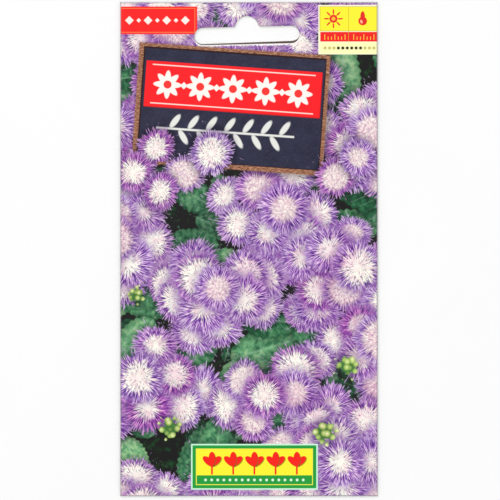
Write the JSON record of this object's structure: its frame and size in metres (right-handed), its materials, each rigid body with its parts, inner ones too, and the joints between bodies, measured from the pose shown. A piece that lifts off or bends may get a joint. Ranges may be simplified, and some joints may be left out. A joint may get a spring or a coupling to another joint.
{
  "type": "seed packet",
  "caption": "Flat printed paper seed packet with a hanging slot in its header, folded and glued at the back, with loose seeds inside.",
  "frame": {"origin": "centre of the bounding box at its lowest plane, the packet lying on its back", "axes": "+Y from the packet's foot to its header with the hanging slot, +Z out of the printed front panel, +X to the right as the front is read"},
  "size_m": [0.08, 0.1536, 0.0029],
  "materials": {
    "printed_paper": "satin",
    "seed_husk": "matte"
  },
  "bodies": {
    "root": {"packet_sheet": "printed_paper", "seed_heap": "seed_husk"}
  },
  "joints": []
}
